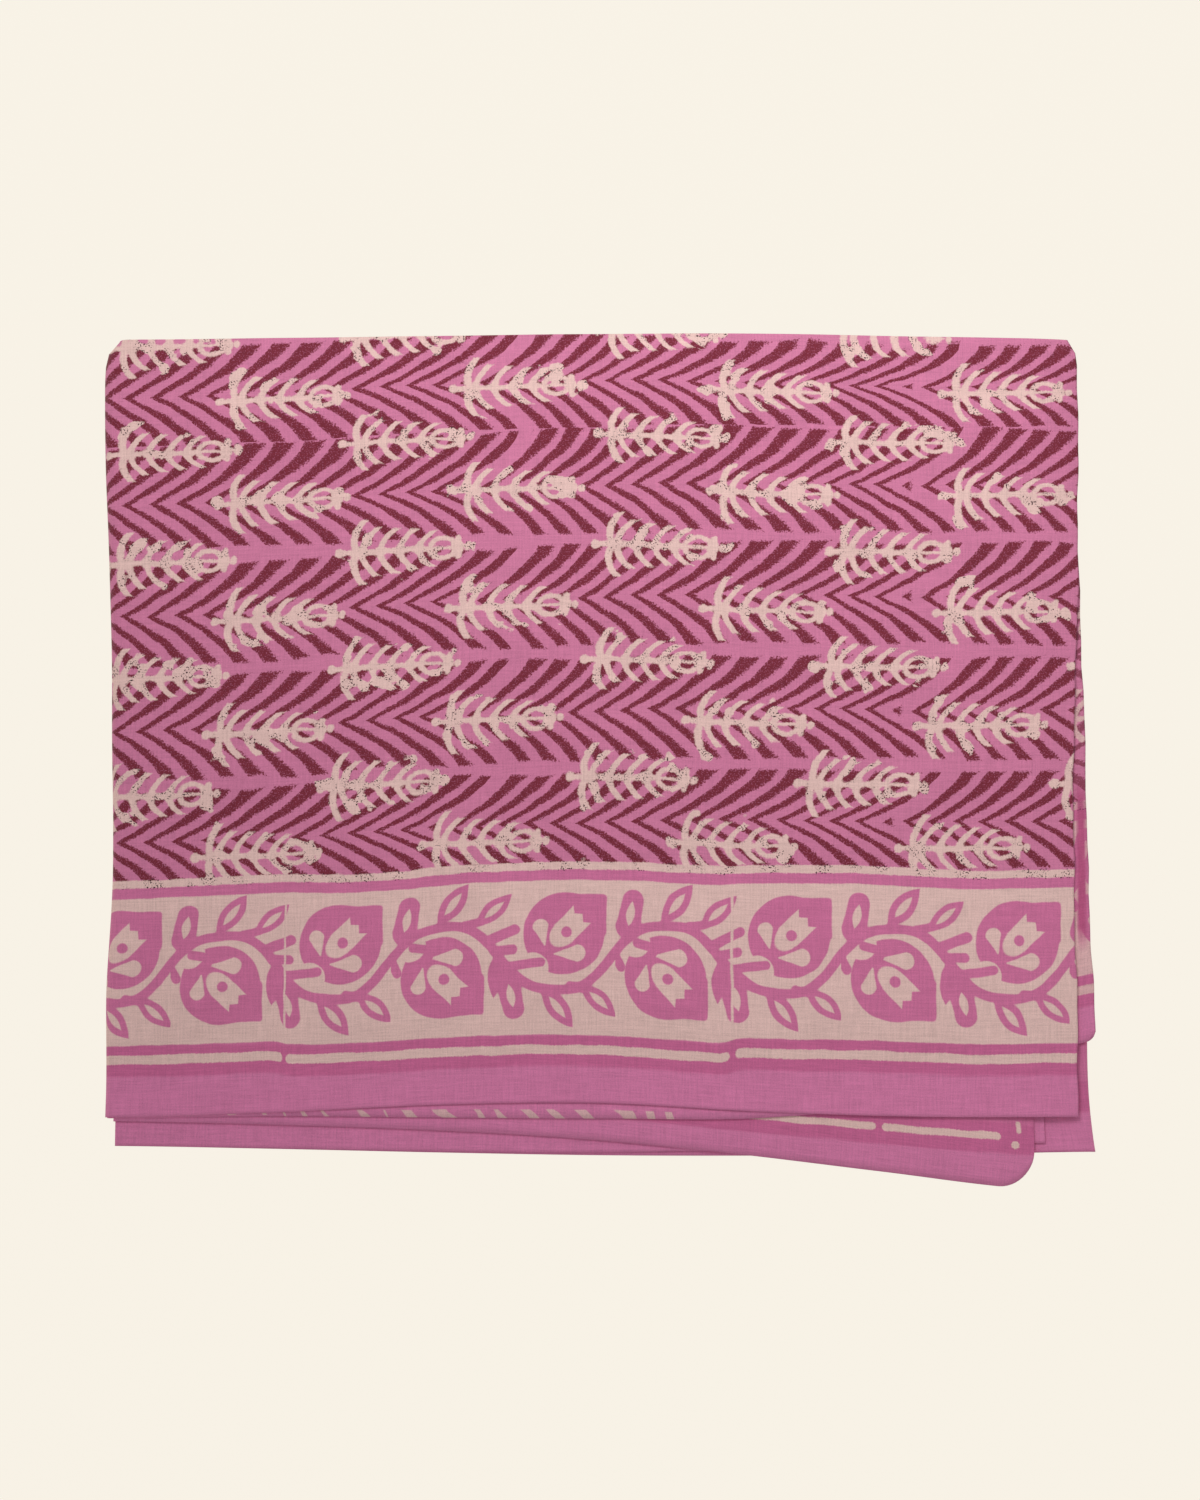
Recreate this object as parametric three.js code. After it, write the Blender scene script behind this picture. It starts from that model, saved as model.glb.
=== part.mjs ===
import * as THREE from 'three';

// A dress length of block-printed cotton, folded for the shelf and lying flat.
// The cloth is 914 mm wide and about 2.3 m long. It is folded in half along its
// length, so that both selvedges lie at the front (-Y) and a hairpin fold lies at
// the back (+Y). The doubled cloth is then folded crosswise in half and in half
// again, which makes four panels of two layers each: eight layers in all.
// Units are millimetres, +Z is up, and the origin is under the middle of the stack.

// The sheet
const CLOTH_THICKNESS = 1.0;
const LAYER_PITCH = 1.8;
const TOP_LEVEL = 7;

// The side lines of the folded cloth run from FRONT_Y to BACK_Y. Each table of such a
// line holds its X at even stations from the front to the back.
const FRONT_Y = -232;
const BACK_Y = 248;
const LEFT_FOLD_X = [-284.7, -282.5, -278.8, -279.8, -281.4, -285, -286.4];
const RIGHT_FOLD_X = [282.6, 281.9, 280.4, 279, 277.3, 275.5, 273.8];

// Soft shapes of the edges
const DROOP_LENGTH = 36;
const HAIRPIN_RADIUS = LAYER_PITCH / 2;
const BACK_CORNER = { shift: 11, spread: 5.5 };
const FOLD_FLARE = { shift: 5.3, spread: 22 };
const INNER_END_CORNER = { radius: 29, bulge: 1.3 };

// One row for each panel, in the order in which the cloth runs from its outer end.
// heads is the side that the panel runs towards, and leftFold the row in FOLDS of its
// left end. Its front and back are the two halves of the cloth's width, and a level is
// a layer's place in the stack, from 0 at the bottom. selvedgeY and backY hold the open
// edge and the lengthwise fold at even stations from left to right, and endX the line
// of a free end, as above.
const PANELS = [
  // the outer end, on top of the stack
  {
    heads: 'left',
    leftFold: 0,
    steps: 9,
    backY: [247.4, 248.4, 249.8, 251, 251.2, 249.4, 248],
    front: {
      level: 7,
      endX: [281.6, 281.8, 281.4, 281.2, 281.2, 281.5, 282.4],
      selvedgeY: [-211, -208.4, -204, -202.8, -207.8, -210.8, -211],
    },
    back: {
      level: 6,
      endX: [291.2, 288.9, 286, 284.8, 282.6, 280.5, 280.4],
      selvedgeY: [-211.5, -210.4, -211.2, -211.8, -211.2, -199, -166],
    },
  },
  // the bottom panel
  {
    heads: 'right',
    leftFold: 0,
    steps: 8,
    backY: [247.4, 243.5, 242.5, 242, 242, 242, 242],
    front: { level: 0, selvedgeY: [-211, -217, -221, -225, -228, -230, -231] },
    back: { level: 1, selvedgeY: [-211.5, -207, -205, -206, -208, -211, -214] },
  },
  // the panel over the bottom one
  {
    heads: 'left',
    leftFold: 2,
    steps: 10,
    backY: [243, 242, 241.5, 242, 243, 243, 242],
    front: { level: 3, selvedgeY: [-227.6, -229.3, -231.4, -233, -233.2, -232.6, -231] },
    back: { level: 2, selvedgeY: [-213.4, -208, -206, -206, -208, -212, -214] },
  },
  // the inner end, under the outer one
  {
    heads: 'right',
    leftFold: 2,
    steps: 10,
    backY: [243, 243.5, 244, 244, 243.5, 243, 242.5],
    front: {
      level: 4,
      endX: [259.2, 258.6, 258, 257, 256, 255, 254],
      selvedgeY: [-227.6, -228.8, -230.6, -231.5, -230, -228, -226],
    },
    back: {
      level: 5,
      endX: [260.8, 260.4, 260, 259, 257, 256, 255],
      selvedgeY: [-213.4, -215.3, -218.3, -223.3, -231.8, -242.4, -252.6],
      roundedCorner: true,
    },
  },
];

// One row for each crosswise fold: the fold between a panel and the next one.
const FOLDS = [
  { side: -1, lineX: LEFT_FOLD_X, inset: 0, flare: 0, steps: 8 },
  { side: 1, lineX: RIGHT_FOLD_X, inset: 0, flare: FOLD_FLARE.shift, steps: 6 },
  { side: -1, lineX: LEFT_FOLD_X, inset: 2.5, flare: 0, steps: 6 },
];

// Broad soft swells of the stack: the middle of each, its half length along angle,
// its half width across, and how far it lifts the top layer.
const SWELLS = [
  { x: -215, y: 20, angle: 88, halfLength: 260, halfWidth: 60, lift: 1.6 },
  { x: 40, y: 215, angle: 2, halfLength: 250, halfWidth: 35, lift: 1.3 },
  { x: 30, y: -165, angle: -3, halfLength: 190, halfWidth: 45, lift: 1.4 },
  { x: 190, y: 60, angle: 70, halfLength: 170, halfWidth: 55, lift: 1.1 },
];
// The free corner of the top layer stands a little clear of what it lies on.
const CORNER_LIFT = { x: 262, y: -200, spread: 34, lift: 2.2 };

// Steps of the surface: close together in a zone along each open edge
const EDGE_ZONE = { width: 66, steps: 6 };
const INNER_STEPS = 7;
const HAIRPIN_STEPS = 6;
const CORNER_ANGLES = [20, 40, 60, 75, 90];

const COTTON = new THREE.MeshStandardMaterial({
  color: new THREE.Color().setRGB(0.78, 0.45, 0.58, THREE.SRGBColorSpace),
  roughness: 0.9,
  metalness: 0,
});

const clamp01 = (value) => Math.min(1, Math.max(0, value));
const mix = (a, b, share) => a + (b - a) * share;
const smooth = (share) => share * share * (3 - 2 * share);

// A smooth line through even stations, read at a share of its length.
function along(stations, share) {
  const last = stations.length - 1;
  const place = clamp01(share) * last;
  const before = Math.min(last - 1, Math.floor(place));
  const step = place - before;
  const [p, q, r, s] = [-1, 0, 1, 2].map(
    (offset) => stations[Math.min(last, Math.max(0, before + offset))],
  );
  const bend = (2 * p - 5 * q + 4 * r - s) * step + (3 * q - p - 3 * r + s) * step * step;
  return q + 0.5 * step * (r - p + bend);
}

const lineAt = (stationsX, y) => along(stationsX, (y - FRONT_Y) / (BACK_Y - FRONT_Y));

// The ends draw in a little at the back, where the doubled cloth turns round.
const drawnIn = (y) =>
  BACK_CORNER.shift * Math.exp(-Math.max(0, BACK_Y - y) / BACK_CORNER.spread);

// Where a crosswise fold begins to turn at a given Y.
function foldX(fold, y) {
  const flare = fold.flare * Math.exp(-Math.max(0, y - FRONT_Y) / FOLD_FLARE.spread);
  return lineAt(fold.lineX, y) + flare - fold.side * (fold.inset + drawnIn(y));
}

// The left and right ends of one layer of a panel at a given Y.
const leftEnd = (panel, y) => foldX(FOLDS[panel.leftFold], y);
const rightEnd = (leaf, y) =>
  leaf.endX ? lineAt(leaf.endX, y) - drawnIn(y) : foldX(FOLDS[1], y);

// The open edge of one layer at a share of its width from left to right.
function selvedge(panel, leaf, share) {
  const edge = along(leaf.selvedgeY, share);
  if (!leaf.roundedCorner) return edge;
  const width = rightEnd(leaf, edge) - leftEnd(panel, edge);
  const { radius, bulge } = INNER_END_CORNER;
  const into = clamp01(1 - ((1 - clamp01(share)) * width) / radius);
  return edge + radius * (1 - (1 - into ** bulge) ** (1 / bulge));
}

// 1 over a layer, falling softly to 0 past its edges, where the cloth above droops.
function support(panel, leaf, x, y) {
  const left = leftEnd(panel, y);
  const right = rightEnd(leaf, y);
  const share = (x - left) / (right - left);
  const past = [selvedge(panel, leaf, share) - y, y - along(panel.backY, share), x - right];
  return past.reduce((held, d) => held * (1 - smooth(clamp01(d / DROOP_LENGTH))), 1);
}

const LEAVES = PANELS.flatMap((panel) => [
  { panel, leaf: panel.front },
  { panel, leaf: panel.back },
]);

function swell(x, y) {
  let lift = 0;
  for (const row of SWELLS) {
    const turn = THREE.MathUtils.degToRad(row.angle);
    const lengthwise = (x - row.x) * Math.cos(turn) + (y - row.y) * Math.sin(turn);
    const across = (y - row.y) * Math.cos(turn) - (x - row.x) * Math.sin(turn);
    lift += row.lift * Math.exp(-((lengthwise / row.halfLength) ** 2) - (across / row.halfWidth) ** 2);
  }
  return lift;
}

// Height of a layer's middle: it rests on the layers that lie under it there.
function restHeight(level, x, y) {
  let below = 0;
  for (const { panel, leaf } of LEAVES) {
    if (leaf.level < level) below += support(panel, leaf, x, y);
  }
  let height = CLOTH_THICKNESS / 2 + LAYER_PITCH * below + (swell(x, y) * level) / TOP_LEVEL;
  if (level === TOP_LEVEL) {
    const away = Math.hypot(x - CORNER_LIFT.x, y - CORNER_LIFT.y) / CORNER_LIFT.spread;
    height += CORNER_LIFT.lift * Math.exp(-away * away);
  }
  return height;
}

// Stations along the cloth: each says where a layer lies at a given Y.
function panelStation(panel, headway) {
  const share = panel.heads === 'right' ? headway : 1 - headway;
  return {
    backY: along(panel.backY, share),
    edgeY: (half) => selvedge(panel, panel[half], share),
    place: (half, y) => {
      const x = mix(leftEnd(panel, y), rightEnd(panel[half], y), share);
      return [x, restHeight(panel[half].level, x, y)];
    },
  };
}

function foldStation(fold, before, after, turn) {
  const share = fold.side < 0 ? 0 : 1;
  const angle = turn * Math.PI;
  return {
    backY: mix(along(before.backY, share), along(after.backY, share), turn),
    edgeY: (half) =>
      mix(selvedge(before, before[half], share), selvedge(after, after[half], share), turn),
    place: (half, y) => {
      const centre = foldX(fold, y);
      const from = restHeight(before[half].level, centre, y);
      const to = restHeight(after[half].level, centre, y);
      const radius = Math.abs(from - to) / 2;
      const x = centre + fold.side * radius * Math.sin(angle);
      return [x, mix(from, to, (1 - Math.cos(angle)) / 2)];
    },
  };
}

const evenShares = (from, to, steps) =>
  Array.from({ length: steps + 1 }, (_, step) => mix(from, to, step / steps));

// Shares of a length from an open edge inwards: the edge's zone, then the rest,
// whose last steps are short ones.
function sharesFromEdge(length, steps) {
  const zone = EDGE_ZONE.width / length;
  const rest = evenShares(0, Math.PI / 2, steps).map((turn) => mix(zone, 1, Math.sin(turn)));
  return [...evenShares(0, zone, EDGE_ZONE.steps), ...rest.slice(1)];
}

// Shares of a panel's length at which it has a station.
function headways(panel) {
  const width = rightEnd(panel.back, FRONT_Y) - leftEnd(panel, FRONT_Y);
  if (panel.back.roundedCorner) {
    const corner = INNER_END_CORNER.radius / width;
    const round = CORNER_ANGLES.map(
      (degrees) => 1 - corner * (1 - Math.sin(THREE.MathUtils.degToRad(degrees))),
    );
    return [...evenShares(0, 1 - corner, panel.steps), ...round];
  }
  return panel.front.endX ? sharesFromEdge(width, panel.steps) : evenShares(0, 1, panel.steps);
}

function clothStations() {
  const stations = [];
  PANELS.forEach((panel, index) => {
    for (const headway of headways(panel)) stations.push(panelStation(panel, headway));
    const fold = FOLDS[index];
    if (!fold) return;
    for (let step = 1; step < fold.steps; step += 1) {
      stations.push(foldStation(fold, panel, PANELS[index + 1], step / fold.steps));
    }
  });
  return stations;
}

// The middle of the cloth across its width at one station: from the front selvedge
// over the hairpin at the back to the other selvedge.
function acrossCloth(station) {
  const row = [];
  const hairpinY = station.backY - HAIRPIN_RADIUS;
  const straight = (half, share) => {
    const y = mix(station.edgeY(half), hairpinY, share);
    const [x, z] = station.place(half, y);
    return new THREE.Vector3(x, y, z);
  };
  const shares = sharesFromEdge(hairpinY - FRONT_Y, INNER_STEPS);
  for (const share of shares) row.push(straight('front', share));
  const frontEnd = straight('front', 1);
  const backEnd = straight('back', 1);
  for (let step = 1; step < HAIRPIN_STEPS; step += 1) {
    const angle = (step / HAIRPIN_STEPS) * Math.PI;
    const point = frontEnd.clone().lerp(backEnd, (1 - Math.cos(angle)) / 2);
    point.y += HAIRPIN_RADIUS * Math.sin(angle);
    row.push(point);
  }
  for (const share of shares.reverse()) row.push(straight('back', share));
  return row;
}

// A closed sheet of even thickness about a grid of middle points.
function sheetGeometry(grid, thickness) {
  const rows = grid.length;
  const columns = grid[0].length;
  const at = (i, j) => grid[Math.min(rows - 1, Math.max(0, i))][Math.min(columns - 1, Math.max(0, j))];
  const positions = [];
  const push = (i, j, side) => {
    const alongCloth = at(i + 1, j).clone().sub(at(i - 1, j));
    const acrossWidth = at(i, j + 1).clone().sub(at(i, j - 1));
    const normal = acrossWidth.cross(alongCloth).normalize();
    const point = grid[i][j].clone().addScaledVector(normal, (side * thickness) / 2);
    positions.push(point.x, point.y, point.z);
  };
  for (const side of [1, -1]) {
    for (let i = 0; i < rows; i += 1) {
      for (let j = 0; j < columns; j += 1) push(i, j, side);
    }
  }
  const face = (i, j) => i * columns + j;
  const lower = rows * columns;
  const triangles = [];
  const quad = (a, b, c, d) => triangles.push(a, b, c, a, c, d);
  for (let i = 0; i < rows - 1; i += 1) {
    for (let j = 0; j < columns - 1; j += 1) {
      const [a, b, c, d] = [face(i, j), face(i, j + 1), face(i + 1, j + 1), face(i + 1, j)];
      quad(a, b, c, d);
      quad(lower + d, lower + c, lower + b, lower + a);
    }
  }
  const rim = (a, b) => quad(b, lower + b, lower + a, a);
  for (let i = 0; i < rows - 1; i += 1) {
    rim(face(i, 0), face(i + 1, 0));
    rim(face(i + 1, columns - 1), face(i, columns - 1));
  }
  for (let j = 0; j < columns - 1; j += 1) {
    rim(face(0, j + 1), face(0, j));
    rim(face(rows - 1, j), face(rows - 1, j + 1));
  }
  const geometry = new THREE.BufferGeometry();
  geometry.setAttribute('position', new THREE.Float32BufferAttribute(positions, 3));
  geometry.setIndex(triangles);
  geometry.computeVertexNormals();
  return geometry;
}

const cloth = new THREE.Mesh(
  sheetGeometry(clothStations().map(acrossCloth), CLOTH_THICKNESS),
  COTTON,
);
cloth.name = 'cloth';

const part = new THREE.Group();
part.add(cloth);

export default part;
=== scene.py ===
# %% [markdown]
# # A block-printed dress length, folded for the shelf
#
# The object is one long piece of cotton, 914 mm wide and about 2.3 m long, printed by
# hand with wooden blocks. It lies flat: doubled along its length, then folded in half
# and in half again, so that eight layers lie on each other.
#
# The solid model of the folded cloth is loaded first. It fixes the size and the place
# of everything that follows. Blender works in metres, with +Z up.

import math

import bpy
import numpy as np
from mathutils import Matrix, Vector


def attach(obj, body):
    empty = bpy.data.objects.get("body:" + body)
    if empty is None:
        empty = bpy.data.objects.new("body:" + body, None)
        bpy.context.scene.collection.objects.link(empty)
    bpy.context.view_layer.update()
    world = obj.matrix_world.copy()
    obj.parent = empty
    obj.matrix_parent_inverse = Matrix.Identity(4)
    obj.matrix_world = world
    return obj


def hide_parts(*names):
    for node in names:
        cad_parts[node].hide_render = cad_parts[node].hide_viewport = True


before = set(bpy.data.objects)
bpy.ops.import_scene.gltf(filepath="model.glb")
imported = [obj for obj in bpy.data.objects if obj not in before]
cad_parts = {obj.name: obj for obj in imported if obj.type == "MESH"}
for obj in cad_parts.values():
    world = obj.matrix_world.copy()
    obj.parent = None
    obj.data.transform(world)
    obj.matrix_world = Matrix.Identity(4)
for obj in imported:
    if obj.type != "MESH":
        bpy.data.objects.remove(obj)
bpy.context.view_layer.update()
print("its nodes:", len(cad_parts))

# %% [markdown]
# ## The lie of the cloth
#
# A cloth simulation could fold a sheet, but it would never come to rest in just this
# lie. Here the folding is written down instead. Every layer has a front edge, a back
# fold and two ends, and each of those lines is given by its place at seven even
# stations. Nearly the same numbers shaped the solid.

# %% The folding, in numbers
MM = 0.001
CLOTH_WIDTH = 914 * MM
CLOTH_THICKNESS = 0.6 * MM
LOWEST_MIDDLE = 0.5 * MM
LAYER_PITCH = 1.8 * MM
TOP_LEVEL = 7
HAIRPIN_RADIUS = LAYER_PITCH / 2
DROOP_LENGTH = 36 * MM
FRONT_Y, BACK_Y = -232 * MM, 248 * MM
# Both ends draw in at the back corners. The right fold flares out at the front.
BACK_CORNER = {"shift": {-1: 11 * MM, 1: 6.5 * MM}, "spread": 5.5 * MM}
FOLD_FLARE = {"shift": 5.3 * MM, "spread": 22 * MM}


def stations(*values):
    return np.array(values) * MM


LEFT_FOLD_X = stations(-284.7, -282.5, -278.8, -279.8, -281.4, -285, -286.4)
RIGHT_FOLD_X = stations(282.6, 281.9, 280.4, 279, 277.3, 275.5, 273.8)
# A panel runs from one crosswise fold to the next, or to a cut end. It has a front and
# a back half, which are two layers, and level counts the layers from the bottom.
OUTER_END = {
    "heads": "left", "left_fold": 0,
    "back_y": stations(247.4, 248.4, 249.8, 251, 251.2, 249.4, 248),
    "front": {
        "level": 7,
        "end_x": stations(279, 278.4, 277.2, 277.8, 281, 282, 282.6),
        "edge_y": stations(-211, -208.4, -204, -202.8, -207.8, -210.8, -211),
    },
    "back": {
        "level": 6,
        "end_x": stations(291.2, 288.9, 286, 284.8, 282.6, 280.5, 280.4),
        "edge_y": stations(-211.5, -210.4, -211.2, -211.8, -211.2, -199, -166),
        "corner": {"radius": 5 * MM, "bulge": 1.7},
    },
}
BOTTOM = {
    "heads": "right", "left_fold": 0,
    "back_y": stations(247.4, 243.5, 242.5, 242, 242, 242, 242),
    "front": {"level": 0, "edge_y": stations(-211, -217, -221, -225, -228, -230, -231)},
    "back": {"level": 1, "edge_y": stations(-211.5, -207, -205, -206, -208, -211, -214)},
}
OVER_BOTTOM = {
    "heads": "left", "left_fold": 2,
    "back_y": stations(243, 242, 241.5, 242, 243, 243, 242),
    "front": {
        "level": 3,
        "edge_y": stations(-227.6, -229.3, -231.4, -233, -233.2, -232.6, -231),
    },
    "back": {
        "level": 2,
        "edge_y": stations(-213.4, -208, -206, -206, -208, -212, -214),
    },
}
INNER_END = {
    "heads": "right", "left_fold": 2,
    "back_y": stations(243, 243.5, 244, 244, 243.5, 243, 242.5),
    "front": {
        "level": 4,
        "end_x": stations(259.2, 258.6, 258, 257, 256, 255, 254),
        "edge_y": stations(-227.6, -228.8, -230.6, -231.5, -230, -228, -226),
    },
    "back": {
        "level": 5,
        "end_x": stations(252.6, 254.6, 257, 258, 257, 256, 255),
        "edge_y": stations(-213.4, -215.3, -218.3, -223.3, -231.8, -242.4, -252.6),
        "corner": {"radius": 20 * MM, "bulge": 1.9},
    },
}
PANELS = [OUTER_END, BOTTOM, OVER_BOTTOM, INNER_END]
FOLDS = [
    {"side": -1, "line_x": LEFT_FOLD_X, "inset": 0, "flare": 0},
    {"side": 1, "line_x": RIGHT_FOLD_X, "inset": 0, "flare": FOLD_FLARE["shift"]},
    {"side": -1, "line_x": LEFT_FOLD_X, "inset": 2.5 * MM, "flare": 0},
]
print(len(PANELS), "panels of two layers, joined by", len(FOLDS), "crosswise folds")

# %% [markdown]
# ## Reading the lines
#
# Seven stations are enough for a soft edge if a smooth curve runs through them. The
# helper below is the usual Catmull-Rom curve, written so that it takes whole arrays:
# numpy then places thousands of points at once.

# %% Smooth lines through the stations
def smooth(share):
    share = np.clip(share, 0, 1)
    return share * share * (3 - 2 * share)


def along(values, share):
    last = len(values) - 1
    place = np.clip(share, 0, 1) * last
    before = np.minimum(np.floor(place).astype(int), last - 1)
    step = place - before
    p, q, r, s = (values[np.clip(before + k, 0, last)] for k in (-1, 0, 1, 2))
    bend = (2 * p - 5 * q + 4 * r - s) * step + (3 * q - p - 3 * r + s) * step * step
    return q + 0.5 * step * (r - p + bend)


def line_at(values, y):
    return along(values, (y - FRONT_Y) / (BACK_Y - FRONT_Y))


def drawn_in(y, side):
    fade = np.exp(-np.maximum(0, BACK_Y - y) / BACK_CORNER["spread"])
    return BACK_CORNER["shift"][side] * fade


# Two small waves along a cut end: how far out, how long and where they begin
END_WAVES = [(0.35 * MM, 13 * MM, 0), (0.25 * MM, 5.3 * MM, 1)]


def ripple(y):
    """A cut end is never quite straight."""
    return sum(out * np.sin(y / length + start) for out, length, start in END_WAVES)


def fold_x(fold, y):
    flare = fold["flare"] * np.exp(-np.maximum(0, y - FRONT_Y) / FOLD_FLARE["spread"])
    shift = fold["inset"] + drawn_in(y, fold["side"])
    return line_at(fold["line_x"], y) + flare - fold["side"] * shift


def left_end(panel, y):
    return fold_x(FOLDS[panel["left_fold"]], y)


def right_end(layer, y):
    if "end_x" in layer:
        return line_at(layer["end_x"], y) - drawn_in(y, 1) + ripple(y)
    return fold_x(FOLDS[1], y)


def open_edge(panel, layer, share):
    edge = along(layer["edge_y"], share)
    if "corner" not in layer:
        return edge
    radius, bulge = layer["corner"]["radius"], layer["corner"]["bulge"]
    width = right_end(layer, edge) - left_end(panel, edge)
    into = np.clip(1 - (1 - np.clip(share, 0, 1)) * width / radius, 0, 1)
    return edge + radius * (1 - (1 - into**bulge) ** (1 / bulge))


print("top layer's left fold at the front:", round(float(left_end(OUTER_END, FRONT_Y)), 4))

# %% [markdown]
# ## Lying on each other
#
# A layer rests on the layers below it, and droops softly where they end. So a point's
# height is the sum of what holds it up. Broad, low swells stand for the air that a
# folded cloth keeps, and the free corner at the front right stands a little clear.

# %% How high a layer lies
SWELLS = [
    {"x": -215, "y": 20, "angle": 88, "half_length": 260, "half_width": 60, "lift": 1.6},
    {"x": 40, "y": 215, "angle": 2, "half_length": 250, "half_width": 35, "lift": 1.3},
    {"x": 30, "y": -165, "angle": -3, "half_length": 190, "half_width": 45, "lift": 1.4},
    {"x": 190, "y": 60, "angle": 70, "half_length": 170, "half_width": 55, "lift": 1.1},
]
CORNER_LIFT = {"x": 262 * MM, "y": -200 * MM, "spread": 34 * MM, "lift": 2.2 * MM}
LAYERS = [(panel, panel[half]) for panel in PANELS for half in ("front", "back")]
PRESSED = {"from_y": -130 * MM, "over": 70 * MM, "share": 0.38}
# Long low waves: lift in mm, angle gained per mm along x and along y, first angle
RIPPLES = [(0.22, 0.075, 0.012, 1.0), (0.16, -0.021, 0.062, 2.3), (0.12, 0.047, 0.088, 0.4)]


def held_up(panel, layer, x, y):
    """1 above a layer, and softly down to 0 beyond its edges."""
    left, right = left_end(panel, y), right_end(layer, y)
    share = (x - left) / (right - left)
    held = 1
    for past in (
        open_edge(panel, layer, share) - y,
        y - along(panel["back_y"], share),
        x - right,
    ):
        held = held * (1 - smooth(past / DROOP_LENGTH))
    return held


def swelling(x, y):
    lift = 0
    for row in SWELLS:
        turn = math.radians(row["angle"])
        off_x, off_y = x / MM - row["x"], y / MM - row["y"]
        lengthwise = off_x * math.cos(turn) + off_y * math.sin(turn)
        across = off_y * math.cos(turn) - off_x * math.sin(turn)
        spread = (lengthwise / row["half_length"]) ** 2 + (across / row["half_width"]) ** 2
        lift = lift + row["lift"] * MM * np.exp(-spread)
    return lift


def rest_height(level, x, y):
    """How high the middle of a layer lies above the floor."""
    below = sum(held_up(p, lay, x, y) for p, lay in LAYERS if lay["level"] < level)
    pressed = 1 - PRESSED["share"] * smooth((PRESSED["from_y"] - y) / PRESSED["over"])
    air = swelling(x, y) + sum(
        lift * MM * np.sin(x / MM * along_x + y / MM * along_y + start)
        for lift, along_x, along_y, start in RIPPLES
    )
    height = LOWEST_MIDDLE + pressed * (LAYER_PITCH * below + air * level / TOP_LEVEL)
    if level == TOP_LEVEL:
        away = np.hypot(x - CORNER_LIFT["x"], y - CORNER_LIFT["y"]) / CORNER_LIFT["spread"]
        height = height + CORNER_LIFT["lift"] * np.exp(-(away**2))
    return height


middle = rest_height(TOP_LEVEL, np.array([0.0]), np.array([0.0]))[0]
print("middle of the top layer lies at", round(middle / MM, 1), "mm")

# %% [markdown]
# ## Stations along the cloth, points across it
#
# The cloth is followed from its outer end to its inner one. At each station a row of
# points runs across the full width: from the front edge back to the lengthwise fold,
# round it, and forward again underneath. The steps are short near the open edges and
# on the top panel, which is what one sees, and longer on the hidden ones.

# %% Where the stations are
TOP_STEPS, HIDDEN_STEPS, LAST_STEPS, TURN_STEPS = 150, 40, 76, 10
CORNER_STEPS = 12
FRONT_STEPS, HAIRPIN_STEPS, BACK_STEPS = 82, 8, 36
EDGE_ZONE = 60 * MM


def shares_from_edge(length, steps):
    """Even shares of a length, with a third of the steps in the zone at its start."""
    near = steps // 3
    zone = EDGE_ZONE / length
    return np.concatenate([
        np.linspace(0, zone, near, endpoint=False),
        np.linspace(zone, 1, steps + 1 - near),
    ])


def panel_station(panel, headway):
    """A station on a panel. The headway is how much of the panel lies behind it."""
    share = headway if panel["heads"] == "right" else 1 - headway

    def place(half, y):
        left, right = left_end(panel, y), right_end(panel[half], y)
        x = left + (right - left) * share
        return x, rest_height(panel[half]["level"], x, y)

    return {
        "back_y": along(panel["back_y"], share),
        "edge_y": {h: open_edge(panel, panel[h], share) for h in ("front", "back")},
        "chart_y": along(panel["back"]["edge_y"], share),
        "place": place,
    }


def fold_station(fold, before, after, turn):
    """A station in a crosswise fold, where the cloth has made this share of the turn."""
    share = 0 if fold["side"] < 0 else 1

    def blend(a, b):
        return a + (b - a) * turn

    def place(half, y):
        centre = fold_x(fold, y)
        start = rest_height(before[half]["level"], centre, y)
        end = rest_height(after[half]["level"], centre, y)
        radius = np.abs(start - end) / 2
        x = centre + fold["side"] * radius * np.sin(turn * math.pi)
        return x, start + (end - start) * (1 - math.cos(turn * math.pi)) / 2

    return {
        "back_y": blend(along(before["back_y"], share), along(after["back_y"], share)),
        "edge_y": {
            h: blend(open_edge(before, before[h], share), open_edge(after, after[h], share))
            for h in ("front", "back")
        },
        "chart_y": blend(
            along(before["back"]["edge_y"], share), along(after["back"]["edge_y"], share)
        ),
        "place": place,
    }


def headways(panel):
    width = float(right_end(panel["back"], FRONT_Y) - left_end(panel, FRONT_Y))
    if panel is OUTER_END:
        return shares_from_edge(width, TOP_STEPS)
    if panel is INNER_END:
        corner = panel["back"]["corner"]["radius"] / width
        angles = np.radians(np.linspace(0, 90, CORNER_STEPS + 1)[1:])
        straight_part = np.linspace(0, 1 - corner, LAST_STEPS - CORNER_STEPS + 1)
        return np.concatenate([straight_part, 1 - corner * (1 - np.sin(angles))])
    return np.linspace(0, 1, HIDDEN_STEPS + 1)


cloth_stations = []
station_panel = []
for index, panel in enumerate(PANELS):
    for headway in headways(panel):
        cloth_stations.append(panel_station(panel, headway))
        station_panel.append(index)
    if index < len(FOLDS):
        for turn in np.linspace(0, 1, TURN_STEPS + 1)[1:-1]:
            cloth_stations.append(fold_station(FOLDS[index], panel, PANELS[index + 1], turn))
            station_panel.append(index + turn)
station_panel = np.array(station_panel)
print(len(cloth_stations), "stations along the cloth")

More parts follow.
